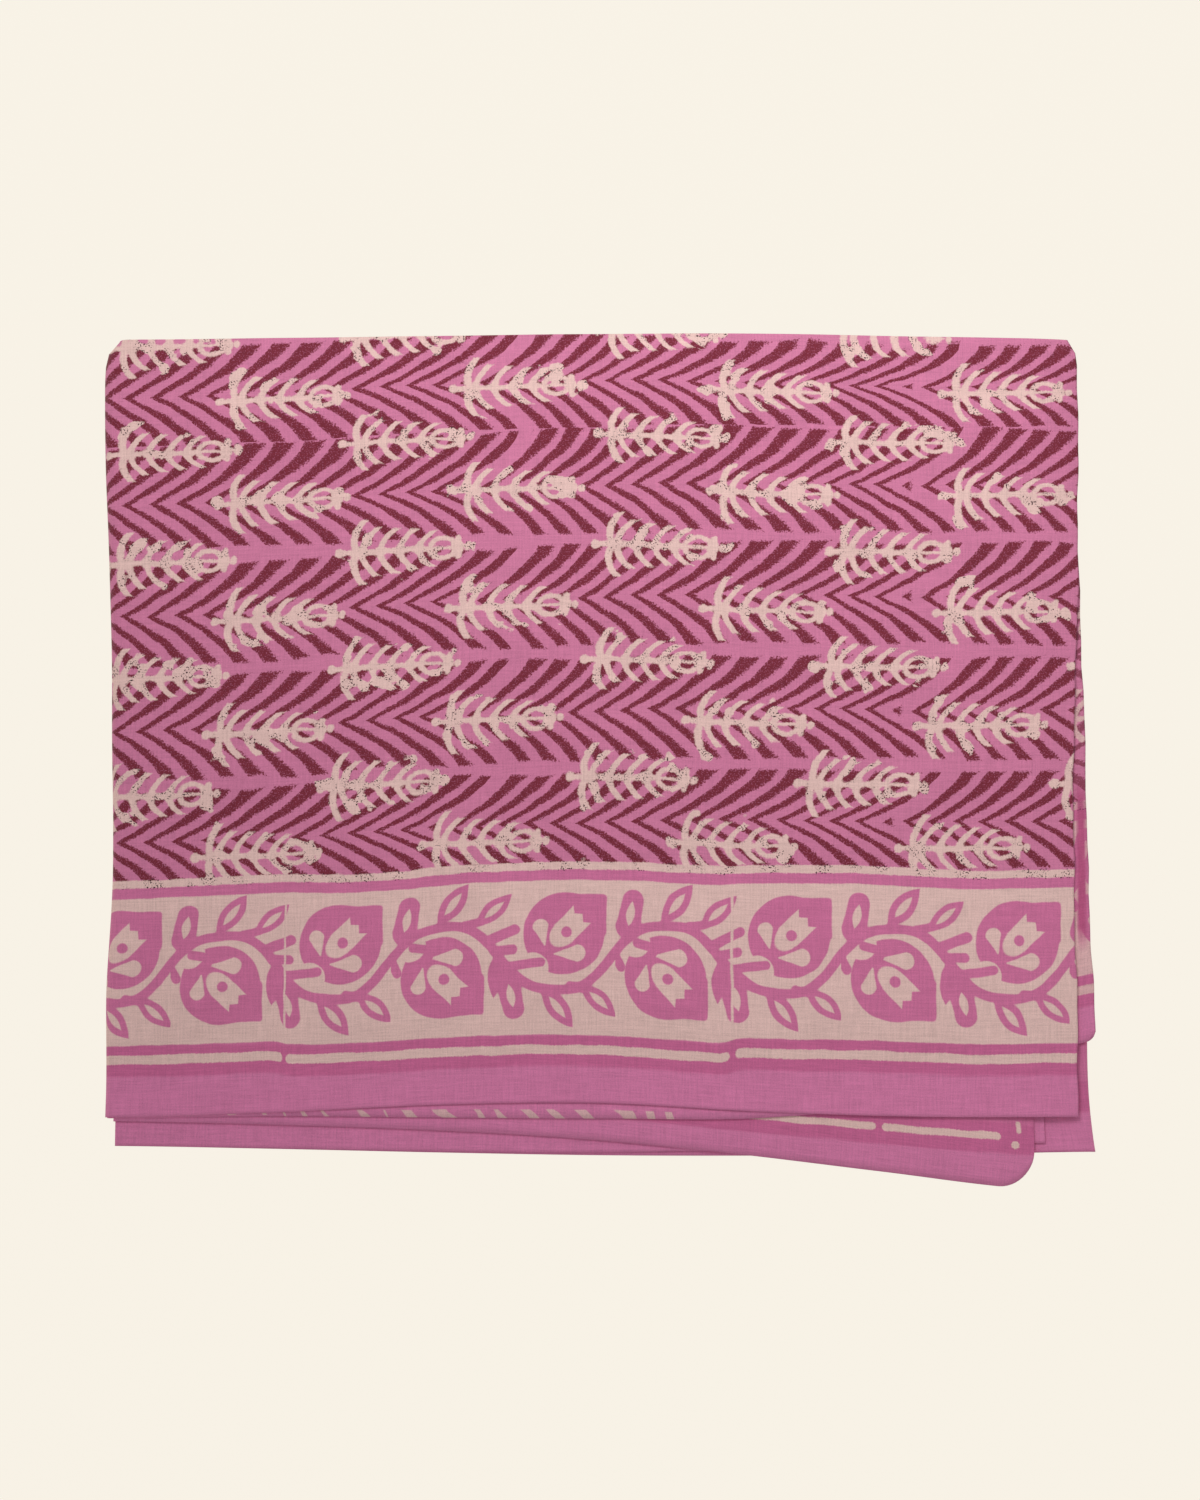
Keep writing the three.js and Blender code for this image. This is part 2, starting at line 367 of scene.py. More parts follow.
# %% Points across the cloth at each station
def row_across(station):
    """The points at one station, from the front edge round the fold and back."""
    hairpin_y = station["back_y"] - HAIRPIN_RADIUS

    def straight(half, shares):
        edge = station["edge_y"][half]
        y = edge + (hairpin_y - edge) * shares
        x, z = station["place"](half, y)
        return np.stack([x, y, z], 1)

    front = straight("front", shares_from_edge(hairpin_y - FRONT_Y, FRONT_STEPS))
    back = straight("back", shares_from_edge(hairpin_y - FRONT_Y, BACK_STEPS))[::-1]
    angles = np.linspace(0, math.pi, HAIRPIN_STEPS + 1)[1:-1, None]
    hairpin = front[-1] + (back[0] - front[-1]) * (1 - np.cos(angles)) / 2
    hairpin[:, 1:2] += HAIRPIN_RADIUS * np.sin(angles)
    return np.concatenate([front, hairpin, back])


middles = np.stack([row_across(station) for station in cloth_stations])
print("grid of", middles.shape[0], "by", middles.shape[1], "points")

# %% A closed sheet about those points
def unit(vectors):
    return vectors / np.linalg.norm(vectors, axis=-1, keepdims=True)


rows, columns = middles.shape[:2]
lengthwise = np.gradient(middles, axis=0)
crosswise = np.gradient(middles, axis=1)
outward = unit(np.cross(crosswise, lengthwise))
right_side = middles + outward * CLOTH_THICKNESS / 2
reverse = middles - outward * CLOTH_THICKNESS / 2
points = np.concatenate([right_side.reshape(-1, 3), reverse.reshape(-1, 3)])

number = np.arange(rows * columns).reshape(rows, columns)
a, b, c, d = number[:-1, :-1], number[:-1, 1:], number[1:, 1:], number[1:, :-1]
under = rows * columns
faces = np.concatenate([
    np.stack([a, b, c, d], -1).reshape(-1, 4),
    np.stack([d, c, b, a], -1).reshape(-1, 4) + under,
])
border = np.concatenate([number[:, 0], number[-1, 1:], number[-2::-1, -1], number[0, -2:0:-1]])
following = np.roll(border, -1)
rim = np.stack([following, following + under, border + under, border], -1)
faces = np.concatenate([faces, rim])

cloth_mesh = bpy.data.meshes.new("printed_cloth")
cloth_mesh.from_pydata(points.tolist(), [], faces.tolist())
cloth_mesh.validate()
cloth_mesh.shade_smooth()


def add_object(name, data):
    thing = bpy.data.objects.new(name, data)
    bpy.context.scene.collection.objects.link(thing)
    return thing


cloth = add_object("printed_cloth", cloth_mesh)
print(len(cloth_mesh.polygons), "faces")

# %% [markdown]
# ## Where each block was set down
#
# The print is made in three passes: the border block, the zigzag block and the fern
# block. A printer sets each one down by eye, so rows lean, drift and crowd a little,
# and each pass does so in its own way. That unevenness is what tells a hand print from
# a machine one, so it is charted here, once for each pass.
#
# All print sizes are counted in steps of a chart, as on squared paper. One step is
# 0.586 mm. Across, the chart counts from the left, with 600 at the middle of the top
# panel. Upward, it counts from the open edge of the cloth towards its middle line. The
# print is the same at both edges, so the cloth has two such charts, back to back.

# %% Every point's place on the flat cloth
STEP = 0.586 * MM
CHART_MIDDLE = 600

# How far the cloth has run at each station, measured on one line of its points
spans = np.linalg.norm(np.diff(middles[:, columns // 4], axis=0), axis=1)
run = np.concatenate([[0], np.cumsum(spans)])
top_rows = station_panel == 0
fold_start = run[top_rows][-1]
lengthwise_place = middles[:, :, 0].copy()
lengthwise_place[~top_rows] = (
    lengthwise_place[top_rows][-1] - (run[~top_rows] - fold_start)[:, None]
)

# How far each point is from the first open edge, measured across the cloth
from_edge = np.zeros((rows, columns))
front_columns = FRONT_STEPS + 1
back_columns = BACK_STEPS + 1
front_y = middles[:, :front_columns, 1]
back_y = middles[:, -back_columns:, 1]
from_edge[:, :front_columns] = front_y - front_y[:, :1]
chart_edge = np.array([station["chart_y"] for station in cloth_stations])[:, None]
from_edge[:, -back_columns:] = CLOTH_WIDTH - (back_y - chart_edge)
# The two halves don't quite make up the width everywhere. What is missing is eased
# away out of sight, towards the lengthwise fold.
hairpin_arc = math.pi * HAIRPIN_RADIUS
gap = from_edge[:, -back_columns] - (from_edge[:, front_columns - 1] + hairpin_arc)
EASED_FROM = 150 * MM
reach = (CLOTH_WIDTH - from_edge[:, -back_columns:] - EASED_FROM) / (
    CLOTH_WIDTH - from_edge[:, -back_columns] - EASED_FROM
)[:, None]
from_edge[:, -back_columns:] -= gap[:, None] * smooth(reach)
turning = np.linspace(0, 1, HAIRPIN_STEPS + 1)[1:-1]
start, end = from_edge[:, front_columns - 1], from_edge[:, -back_columns]
from_edge[:, front_columns:-back_columns] = start[:, None] + (end - start)[:, None] * turning

across = CHART_MIDDLE + lengthwise_place / STEP
# The inner end lies from the middle of the last fold on. From the second fold on, the
# chart is moved along, so that a joint of the border comes where that end shows one.
on_inner = station_panel > 2.5
SEEN_COLUMN = -20
inner_x = CHART_MIDDLE + middles[:, SEEN_COLUMN, 0] / STEP
INNER_JOINT, JOINT_PITCH, FIRST_JOINT = 898, 446, 285
at_joint = np.interp(INNER_JOINT, inner_x[on_inner], across[on_inner, SEEN_COLUMN])
across[station_panel > 1] -= (at_joint - FIRST_JOINT) % JOINT_PITCH
second_half = from_edge > CLOTH_WIDTH / 2
upward = np.where(second_half, CLOTH_WIDTH - from_edge, from_edge) / STEP
print("chart runs from", round(across.min()), "to", round(across.max()), "steps")

# %% How far each pass strays
# In the second half the print lies nearer to its edge, above all on the inner end.
NEARER_AT, NEARER, NEARER_ELSEWHERE = [760, 830, 890, 1000], [16.5, 14, 12.3, 7], 7
nearer = np.where(on_inner, np.interp(inner_x, NEARER_AT, NEARER), NEARER_ELSEWHERE)
upward = upward + second_half * nearer[:, None] * (1 - smooth((upward - 250) / 450))

# The border: how high its lowest and highest lines were set, along the top panel
BORDER_AT = [100, 275, 292, 350, 400, 450, 560, 680, 722, 738, 800, 860, 920, 980, 1080]
LOW_SET = [0, 0, -4, -5.5, -5.5, -4, -3.5, -5, -5, 1, 2, 3.5, 2.5, 1, 2]
HIGH_SET = [-7, -4, -4, -7.5, -7, -3.5, -1, 0, 1, 3, 6, 8, 5.5, 4, 6]
LOW_LINE, HIGH_LINE, TOP_LINE = 56.5, 228, 237
low = np.interp(across, BORDER_AT, LOW_SET)
high = np.interp(across, BORDER_AT, HIGH_SET)
share = np.clip((upward - LOW_LINE) / (HIGH_LINE - LOW_LINE), 0, 1)
border_up = upward - (low + (high - low) * share)
# Each length of the border block was set down a little off its place.
SLIP_AT = [100, 285.5, 287.5, 730, 732, 789, 890, 1015, 1079]
SLIP = [4, 2, 0, 0, 1, 1, 3, 5.5, 7]
border_across = across - np.interp(across, SLIP_AT, SLIP)
# The lowest line stops short of the inner end of the cloth. Elsewhere it has no end.
LINE_END, FAR_BEFORE, WELL_PAST = 1007, -1000, 40
past_line = np.where(on_inner, inner_x - LINE_END, FAR_BEFORE)[:, None]
# At the right crosswise fold the cloth was left plain, next to its edge.
PLAIN_REACH = 30 * MM
by_fold = np.abs(run - run[station_panel == 2][0]) < PLAIN_REACH
past_line = np.where(by_fold[:, None], WELL_PAST, past_line)
# A little paste strayed on to the margin beneath the top layer.
STRAY_TO = 678
stray = second_half & top_rows[:, None] & (across < STRAY_TO)


def evened(level, marks, pitch):
    """Count from the first mark, stretched so that the marks come one pitch apart."""
    outside = np.minimum(level - marks[0], 0) + np.maximum(level - marks[-1], 0)
    return np.interp(level, marks, pitch * np.arange(len(marks))) + outside


# The zigzags: rows of 110 steps that climb to the right. The lower rows of blocks
# were begun further left.
ROW_EDGES = [226.5, 334.5, 450.5, 565, 676, 781]
ROW_HEIGHT = 110
CLIMB = 0.015
fern_level = upward - CLIMB * (np.clip(across, 60, 1140) - 450)
# The zigzags climb more at the right. Near the lengthwise fold they run level.
CLIMB_AT, MORE_CLIMB = [100, 300, 590, 660, 740, 820, 1080], [1.5, 0, 0, 5, 9, 10.5, 9]
climb = np.interp(across, CLIMB_AT, MORE_CLIMB) + upward - fern_level
level_up = upward - climb * (1 - smooth((upward - 690) / 90))
zigzag_up = evened(level_up, ROW_EDGES, ROW_HEIGHT)
zigzag_across = across - np.interp(level_up, [280, 390, 500, 600], [-21, -10, -4, 0])
# To the right the blocks were set closer together.
closer = np.interp(level_up, [280, 390], [6, 15])
zigzag_across = zigzag_across + closer * np.clip((across - 560) / 320, 0, 1)

# The ferns: rows 114 steps apart. Each row of blocks was begun at its own place.
FERN_ROWS = [259.5, 383, 496.5, 616, 719]
FERN_PITCH = 114
LEFT_BLOCK, RIGHT_BLOCK = 215, 706
LEFT_LEAN = [-22, -12, -3, 0, 0]
RIGHT_LEAN = [-41, -24, -6, 1, 0]
fern_up = evened(fern_level, FERN_ROWS, FERN_PITCH)
left = np.interp(fern_level, FERN_ROWS, LEFT_LEAN)
right = np.interp(fern_level, FERN_ROWS, RIGHT_LEAN)
toward_right = np.clip((across - LEFT_BLOCK) / (RIGHT_BLOCK - LEFT_BLOCK), -0.3, 1.3)
fern_across = across - (left + (right - left) * toward_right)

# Painted shadow: a narrow darker band on the end that shows at the right, beneath the edge of
# the top layer.
SHADOW_ACROSS, SHADOW_UP, SHADOW_HALF_WIDTH, SHADOW_HALF_HEIGHT = 1081, 180, 6, 80
painted_shadow = smooth((SHADOW_HALF_WIDTH - np.abs(across - SHADOW_ACROSS)) / 3)
painted_shadow = painted_shadow * smooth((SHADOW_HALF_HEIGHT - np.abs(upward - SHADOW_UP)) / 12)
painted_shadow = painted_shadow * second_half * top_rows[:, None]


def keep_on_cloth(name, x, y, z, z_beneath=None):
    """Store three numbers at each point. On the reverse, the third one may differ."""
    sides = []
    for third in (z, z if z_beneath is None else z_beneath):
        grids = [np.broadcast_to(number, (rows, columns)) for number in (x, y, third)]
        sides.append(np.stack(grids, -1))
    layer = cloth_mesh.attributes.new(name, "FLOAT_VECTOR", "POINT")
    layer.data.foreach_set("vector", np.stack(sides).astype(np.float32).ravel())


keep_on_cloth("border_place", border_across, border_up, past_line)
keep_on_cloth("zigzag_place", zigzag_across, zigzag_up, stray)
# The fern place carries the painted shadow band as its third number.
keep_on_cloth("fern_place", fern_across, fern_up, painted_shadow)
keep_on_cloth("cloth_place", -lengthwise_place / MM, from_edge / MM, 0, z_beneath=1)
print("four places kept at each of", len(cloth_mesh.vertices), "points")

# %% [markdown]
# ## A plan of the cloth
#
# For uses that need one flat picture of the colours, the cloth also has a plan, from 0
# to 1 both ways. The top layer takes most of it. The layers that only show a sliver at
# the front get wide room near their edges, and the hidden parts share the rest.

# %% The plan
PLAN_NAME = "OFBake"
last_top = int(top_rows.sum()) - 1
near_front, near_back = FRONT_STEPS // 3, BACK_STEPS // 3
between = columns - 1 - near_front - near_back
weights = np.repeat([1.0, 0.35, 6.0], [near_front, between, near_back])
by_weight = np.concatenate([[0], np.cumsum(weights)]) / weights.sum()
by_station = np.arange(rows) / (rows - 1)
top_across = from_edge[0] / from_edge[0, front_columns - 1]


def fitted(values, first, last, low, high):
    """Bring values[first..last] to run from low to high."""
    return low + (high - low) * (values - values[first]) / (values[last] - values[first])


# For each part: how u runs along the cloth, and how v runs across it
fold_column = front_columns - 1
whole_width = fitted(by_weight, 0, columns - 1, 0.005, 0.235)
PLAN = {
    "top": (
        fitted(run, 0, last_top, 0.995, 0.005),
        fitted(top_across, 0, fold_column, 0.262, 0.995),
    ),
    "under top": (
        fitted(by_station, 0, last_top, 0.8, 0.61),
        fitted(by_weight, fold_column, columns - 1, 0.005, 0.235),
    ),
    "hidden": (fitted(by_station, last_top, rows - 1, 0.005, 0.6), whole_width),
    "reverse": (fitted(by_station, 0, rows - 1, 0.81, 0.995), whole_width),
}
corners = np.array([list(face.vertices) for face in cloth_mesh.polygons])
corner_row, corner_column = (corners % under) // columns, corners % columns
from_row, from_column = corner_row.min(1), corner_column.min(1)
sides_used = (corners >= under).sum(1)
parts = {
    "top": (sides_used == 0) & (from_row < last_top) & (from_column < fold_column),
    "under top": (sides_used == 0) & (from_row < last_top) & (from_column >= fold_column),
    "hidden": (sides_used == 0) & (from_row >= last_top),
    "reverse": sides_used == 4,
}
plan = np.zeros((*corners.shape, 2))
for name, (plan_u, plan_v) in PLAN.items():
    here = parts[name]
    plan[here, :, 0] = plan_u[corner_row[here]]
    plan[here, :, 1] = plan_v[corner_column[here]]
on_rim = sides_used == 2
steps = np.arange(on_rim.sum())
rim_u = 0.005 + 0.99 * (steps[:, None] + np.array([1, 1, 0, 0])) / len(steps)
plan[on_rim, :, 0] = rim_u
plan[on_rim, :, 1] = np.where(corners[on_rim] >= under, 0.244, 0.252)
plan_layer = cloth_mesh.uv_layers.new(name=PLAN_NAME)
plan_layer.uv.foreach_set("vector", plan.astype(np.float32).ravel())
print("faces on the plan:", {name: int(here.sum()) for name, here in parts.items()})

# %% [markdown]
# ## Arithmetic in a material
#
# A drawn motif can be worked out as a distance: how far is this point from the edge of
# the shape, less than nothing inside it. Blender does such sums with Math nodes. The
# small helper below lets them be written as plain arithmetic, one node for each step.

# %% Sums that become nodes
cotton = bpy.data.materials.new("printed_cotton")
cotton.use_nodes = True
tree = cotton.node_tree
finish = tree.nodes["Principled BSDF"]


def put(value, socket):
    """Link a worked-out value to a socket, or set a plain number on it."""
    if isinstance(value, Value):
        tree.links.new(value.socket, socket)
    else:
        socket.default_value = value


def compute(operation, *values, clamp=False):
    """Add one Math node and return its result."""
    node = tree.nodes.new("ShaderNodeMath")
    node.operation = operation
    node.use_clamp = clamp
    for value, socket in zip(values, node.inputs):
        put(value, socket)
    return Value(node.outputs[0])


class Value:
    """A number that differs from place to place."""

    def __init__(self, socket):
        self.socket = socket

    def __add__(self, other):
        return compute("ADD", self, other)

    def __sub__(self, other):
        return compute("SUBTRACT", self, other)

    def __rsub__(self, other):
        return compute("SUBTRACT", other, self)

    def __mul__(self, other):
        return compute("MULTIPLY", self, other)

    def __truediv__(self, other):
        return compute("DIVIDE", self, other)

    def __abs__(self):
        return compute("ABSOLUTE", self)

    __radd__ = __add__
    __rmul__ = __mul__


def least(first, *others):
    for other in others:
        first = compute("MINIMUM", first, other)
    return first


def most(first, *others):
    for other in others:
        first = compute("MAXIMUM", first, other)
    return first


def joined(first, second, softness):
    return compute("SMOOTH_MIN", first, second, softness)


def repeat(value, period):
    return compute("FLOORED_MODULO", value, period)


def beyond(value, limit):
    return compute("GREATER_THAN", value, limit)


def choose(first, second, when):
    """first where when is 0, second where it is 1."""
    return compute("MULTIPLY_ADD", when, second - first, first)


def inside(distance, softness=1.0):
    """1 inside a shape and 0 outside, with an edge of the given softness in steps."""
    return compute("MULTIPLY_ADD", distance, -1 / softness, 0.5, clamp=True)


def split(vector_socket):
    node = tree.nodes.new("ShaderNodeSeparateXYZ")
    tree.links.new(vector_socket, node.inputs[0])
    return [Value(out) for out in node.outputs]


def place_on(name):
    node = tree.nodes.new("ShaderNodeAttribute")
    node.attribute_name = name
    return node.outputs["Vector"]


def noise(vector_socket, scale, detail=1.0, stretch=None):
    """A noise from 0 to 1. Where stretch is small, it is drawn out along that axis."""
    if stretch:
        vector_socket = vector_step("MULTIPLY", vector_socket, stretch)[0]
    node = tree.nodes.new("ShaderNodeTexNoise")
    tree.links.new(vector_socket, node.inputs["Vector"])
    node.inputs["Scale"].default_value = scale
    node.inputs["Detail"].default_value = detail
    return node


def three(node):
    """A noise's three colours: three unrelated noises about a middle of 0.5."""
    channels = tree.nodes.new("ShaderNodeSeparateColor")
    tree.links.new(node.outputs["Color"], channels.inputs[0])
    return [Value(out) for out in channels.outputs]


def one(node):
    return Value(node.outputs["Fac"])


# %% Points, rounds, bars and leaves on the chart
def vector_step(operation, first, second=None, scale=None):
    """Add one Vector Math node. It gives a vector, and for some sums a plain number."""
    node = tree.nodes.new("ShaderNodeVectorMath")
    node.operation = operation
    for value, socket in zip((first, second), node.inputs):
        if value is None:
            continue
        if isinstance(value, tuple):
            socket.default_value = (*value, 0)[:3]
        else:
            tree.links.new(value, socket)
    if scale is not None:
        put(scale, node.inputs["Scale"])
    return node.outputs[0], Value(node.outputs[1])


def point_at(x, y, z=0):
    node = tree.nodes.new("ShaderNodeCombineXYZ")
    for value, socket in zip((x, y, z), node.inputs):
        put(value, socket)
    return node.outputs[0]


def disc(point, centre, radius):
    return vector_step("DISTANCE", point, centre)[1] - radius


def bar(point, start, end, radius, end_radius=None):
    """A bar with round ends, which may taper."""
    span = (end[0] - start[0], end[1] - start[1])
    squared = span[0] ** 2 + span[1] ** 2
    from_start = vector_step("SUBTRACT", point, start)[0]
    how_far = vector_step("DOT_PRODUCT", from_start, (span[0] / squared, span[1] / squared))[1]
    how_far = compute("MINIMUM", how_far, 1, clamp=True)
    on_bar = vector_step("SCALE", span, scale=how_far)[0]
    distance = vector_step("DISTANCE", from_start, on_bar)[1]
    if end_radius is None:
        return distance - radius
    return distance - (how_far * (end_radius - radius) + radius)


def leaf(point, base, tip, half_width, eye=True):
    """A pointed leaf, with a small pointed eye left open in it."""
    middle = ((base[0] + tip[0]) / 2, (base[1] + tip[1]) / 2)
    span = (tip[0] - base[0], tip[1] - base[1])
    length = math.hypot(*span)
    lengthwise = (span[0] / length, span[1] / length)
    from_middle = vector_step("SUBTRACT", point, middle)[0]
    along_leaf = vector_step("DOT_PRODUCT", from_middle, lengthwise)[1]
    aside = abs(vector_step("DOT_PRODUCT", from_middle, (-lengthwise[1], lengthwise[0]))[1])
    squared = along_leaf * along_leaf

    def pointed(width, half_length):
        return aside + compute("MULTIPLY_ADD", squared, width / half_length**2, -width)

    outer = pointed(half_width, length / 2)
    if not eye:
        return outer
    return most(outer, pointed(0.36 * half_width, 0.27 * length) * -1)


# %% [markdown]
# ## The hand in the print
#
# No line of a block print is quite straight or sharp. Slow noise bends the lines, and
# fine noise frays their edges, where dye crept along the threads.

# %% Bent lines and frayed edges
cloth_place = place_on("cloth_place")  # in mm
along_cloth, across_cloth, on_reverse = split(cloth_place)
bend_x, bend_y, blot = three(noise(cloth_place, 0.07, 2))
fray_field, fray_fern, fray_border = three(noise(cloth_place, 0.9, 2))
region = one(noise(cloth_place, 0.02, 1))
print("noises ready")

# %% [markdown]
# ## Zigzags
#
# Maroon stripes rise and fall from a point, like laid herringbone. Seen along a row,
# every stripe is the same shape, shifted by 27 steps. So one sheared coordinate turns
# them all into plain upright bars, which repeat. The stripes lean less far from the
# point, and more towards the end of a block. Where one block met the next, a wider gap
# is left, with a small arrowhead in it.

# %% The zigzag stripes
ZIGZAG_BLOCK, BLOCK_START = 460, 449
ZIGZAG_PITCH, FIRST_STRIPE = 27.2, 24
APEX_UP, ARM_MIDDLE, ARM_REACH = 51, 53, 49
ROW_SHIFT, SEAM_GAP = 14, 20
STRIPE_WIDTH, STRIPE_SLANT = 9.8, 0.62
ARROW_START, ARROW_LENGTH = 6, 9.5
zigzag_x, zigzag_y, stray = split(place_on("zigzag_place"))
zigzag_x = zigzag_x + (bend_x - 0.5) * 5
zigzag_y = zigzag_y + (bend_y - 0.5) * 5
in_row = repeat(zigzag_y, ROW_HEIGHT)
row_number = compute("FLOOR", zigzag_y / ROW_HEIGHT)
row_chance = tree.nodes.new("ShaderNodeTexWhiteNoise")
row_chance.noise_dimensions = "1D"
put(row_number + 3.5, row_chance.inputs["W"])
row_shift = (Value(row_chance.outputs["Value"]) - 0.5) * ROW_SHIFT
arm = abs(in_row - APEX_UP)
reach_of_arm = arm * (1.9 - arm * 0.0124)
from_seam = zigzag_x - row_shift - BLOCK_START
in_block = repeat(from_seam - reach_of_arm, ZIGZAG_BLOCK)
reach_of_arm = reach_of_arm * (in_block * 0.0006 + 0.9)
in_block = repeat(from_seam - reach_of_arm, ZIGZAG_BLOCK)
crowding = compute("SINE", (in_block - 40) * (2 * math.pi / ZIGZAG_BLOCK))
crowding = crowding * (0.24 * ZIGZAG_PITCH)
in_stripe = repeat(in_block - FIRST_STRIPE + crowding, ZIGZAG_PITCH)
upper = beyond(in_row, APEX_UP)
stripe_width = STRIPE_WIDTH + arm * (upper * 0.06 + 0.1) + (blot - 0.5) * 7
stripe = (abs(in_stripe - stripe_width / 2) - stripe_width / 2) * STRIPE_SLANT
tip = repeat(from_seam - ARROW_START, ZIGZAG_BLOCK)
arrowhead = most(arm * 2 - tip, tip - ARROW_LENGTH) * 0.6
# Between the fourth and the fifth row the arms reach further.
crowded = inside(abs(zigzag_y - 4 * ROW_HEIGHT) - 20, 20)
arm_end = abs(in_row - ARM_MIDDLE) - ARM_REACH - (region - 0.5) * 14 - crowded * 6
zigzag = least(most(stripe, arm_end, SEAM_GAP - in_block), arrowhead)
zigzag = zigzag + (fray_field - 0.5) * 8.5
zigzag = most(zigzag, TOP_LINE - 1 - split(place_on("border_place"))[1])
print("zigzags drawn")

# %% [markdown]
# ## Ferns
#
# Pale ferns lie in two sets of rows, each set halfway between the other's. A mud paste
# kept the dye from them. Each point of the cloth belongs to the nearest fern, and is
# measured in that fern's own chart, from its knob on the left to its crown on the
# right. The upper and the lower half are alike, so half a fern is enough.

# %% Which fern a point belongs to
FERN_BLOCK, SECOND_FERN, BEFORE_FERN, FIRST_ENDS = 492, 235, 60, 186
FERN_MIDDLE, FERN_REACH = 68, 70
# Its third number is the painted shadow band beside the top layer's right edge.
fern_x, fern_y, painted_shadow = split(place_on("fern_place"))
fern_x = fern_x + (bend_y - 0.5) * 4
fern_y = fern_y + (bend_x - 0.5) * 5


def nearest_fern(first_x, first_y):
    """Where a point lies in its nearest fern of one set, and how far away that is."""
    height = repeat(fern_y - first_y + FERN_PITCH / 2, FERN_PITCH) - FERN_PITCH / 2
    along_row = repeat(fern_x - first_x + BEFORE_FERN, FERN_BLOCK)
    second = beyond(along_row, BEFORE_FERN + FIRST_ENDS)
    length_in = along_row - BEFORE_FERN - second * SECOND_FERN
    height = abs(height)
    past_end = most(abs(length_in - FERN_MIDDLE) - FERN_REACH, 0)
    away = height + length_in * 0.17 + past_end * 1.5
    return length_in, height, away


odd_x, odd_y, odd_away = nearest_fern(215, 0)
even_x, even_y, even_away = nearest_fern(103, 59)
is_even = beyond(odd_away, even_away)
frond_x = choose(odd_x, even_x, is_even)
frond_y = choose(odd_y, even_y, is_even)
print("two sets of fern rows")

# %% One fern
STEM_MIDDLE, STEM_RADIUS = 46, 2.5
RING_PLACE, RING_LENGTH, RING_HEIGHT = (106, 0), 13, 9.5
frond_point = point_at(frond_x, frond_y)
stem = most(abs(frond_x - STEM_MIDDLE) - STEM_MIDDLE, frond_y - STEM_RADIUS)
knob = least(disc(frond_point, (21, 0), 5.2), disc(frond_point, (2.5, 0), 4.3))
# The first pair of leaflets curls. The others sweep on, shorter towards the crown.
first_pair = most(
    abs(frond_x - 19 + frond_y * (0.5 - frond_y * 0.0235)) * 0.9 - 3.3, frond_y - 31
)
leaf_reach = 28 - frond_x * 0.11
out_along = frond_y / leaf_reach
swept = frond_x - compute("POWER", out_along, 1.7) * 16 - 24
LEAF_PITCH = 19
to_leaf = abs(repeat(swept + LEAF_PITCH / 2, LEAF_PITCH) - LEAF_PITCH / 2)
leaflets = most(
    to_leaf - 3.2 - out_along * 0.5,
    (frond_y - leaf_reach) * 0.8,
    abs(swept - 28.5) - 38,
)
fern = joined(joined(stem, leaflets, 7), least(knob, first_pair), 3)
from_ring = vector_step("SUBTRACT", frond_point, RING_PLACE)[0]
in_ring = vector_step("MULTIPLY", from_ring, (1 / RING_LENGTH, 1 / RING_HEIGHT))[0]
ring = abs(vector_step("LENGTH", in_ring)[1] - 1) * RING_HEIGHT - 2.2
crown = least(
    disc(frond_point, (121, 0), 6),
    disc(frond_point, (130.5, 0), 3.8),
    bar(frond_point, (121, 0), (121.5, 8.5), 4, 3),
)
rib = bar(frond_point, (90, 0), (118, 0), 1.5)
fern = least(fern, joined(ring, crown, 4), rib)
# Where much paste lay, a fern swells.
heavy = most(blot - 0.58, 0)
fern = fern + (fray_fern - 0.5) * 3.2 - heavy * 45
print("fern drawn")

# %% [markdown]
# ## The border's vine
#
# A stem waves along the border. Above each hollow and below each crest sits a bud, and
# leaves stand on the other side. The lower half of the pattern is the upper one turned
# over and moved along, so one bud and three leaves are drawn, and used both ways up.

# %% The waving stem
VINE_PERIOD, VINE_START, VINE_AXIS = 223, 392, 150
WAVE_HEIGHT, KINK_HEIGHT, VINE_RADIUS = 35.5, 3, 4.7
border_x, border_y, past_line = split(place_on("border_place"))
border_x = border_x + (bend_x - 0.5) * 3
border_y = border_y + (bend_y - 0.5) * 3
vine_x = repeat(border_x - VINE_START, VINE_PERIOD)
vine_y = border_y - VINE_AXIS
turn = vine_x * (2 * math.pi / VINE_PERIOD)
wave, kink = turn + 0.096, turn * 3 + 0.49
stem_y = compute("SINE", wave) * WAVE_HEIGHT + compute("SINE", kink) * KINK_HEIGHT - 2.4
slope = compute("COSINE", wave) + compute("COSINE", kink) * 0.25
vine = abs(vine_y - stem_y) / compute("SQRT", slope * slope + 1) - VINE_RADIUS
print("stem drawn")

# %% Short twigs on the stem
vine_point = point_at(vine_x, vine_y)
TWIGS = [
    ((97, 14), (123, 25), 5.2),
    ((103, 4), (121, 5), 4.8),
    ((113, -12), (149, -7.5), 4.6),
    ((22, 12), (41, 8), 4.6),
    ((41, 8), (37, 1), 4.2),
    ((0, -1), (6, -12), 4.6),
]
for start, end, radius in TWIGS:
    vine = joined(vine, bar(vine_point, start, end, radius), 3)
vine = joined(vine, leaf(vine_point, (104, 0), (102, -42), 7, eye=False), 4)
print(len(TWIGS), "twigs")

# %% Leaves, both ways up
LEAVES = [((-22, 33), (9, 71.5), 10.4), ((17, 30), (52, 60.5), 9.4)]
turned = beyond(vine_x - vine_y * 0.22, 113)
way_up = 1 - turned * 2
leaf_point = point_at(vine_x - 68 - turned * 104, vine_y * way_up)
broad_leaf = bar(leaf_point, (-55, 28), (-50, 53), 12.3, 10.6)
broad_leaf = most(broad_leaf, leaf(leaf_point, (-55, 29), (-50, 52), 4.3, eye=False) * -1)
vine = joined(vine, broad_leaf, 5)
for base, tip, half_width in LEAVES:
    vine = joined(vine, leaf(leaf_point, base, tip, half_width), 5)
vine = joined(vine, bar(leaf_point, (6, 31), (21, 34), 4.2), 3)
print("leaves drawn")

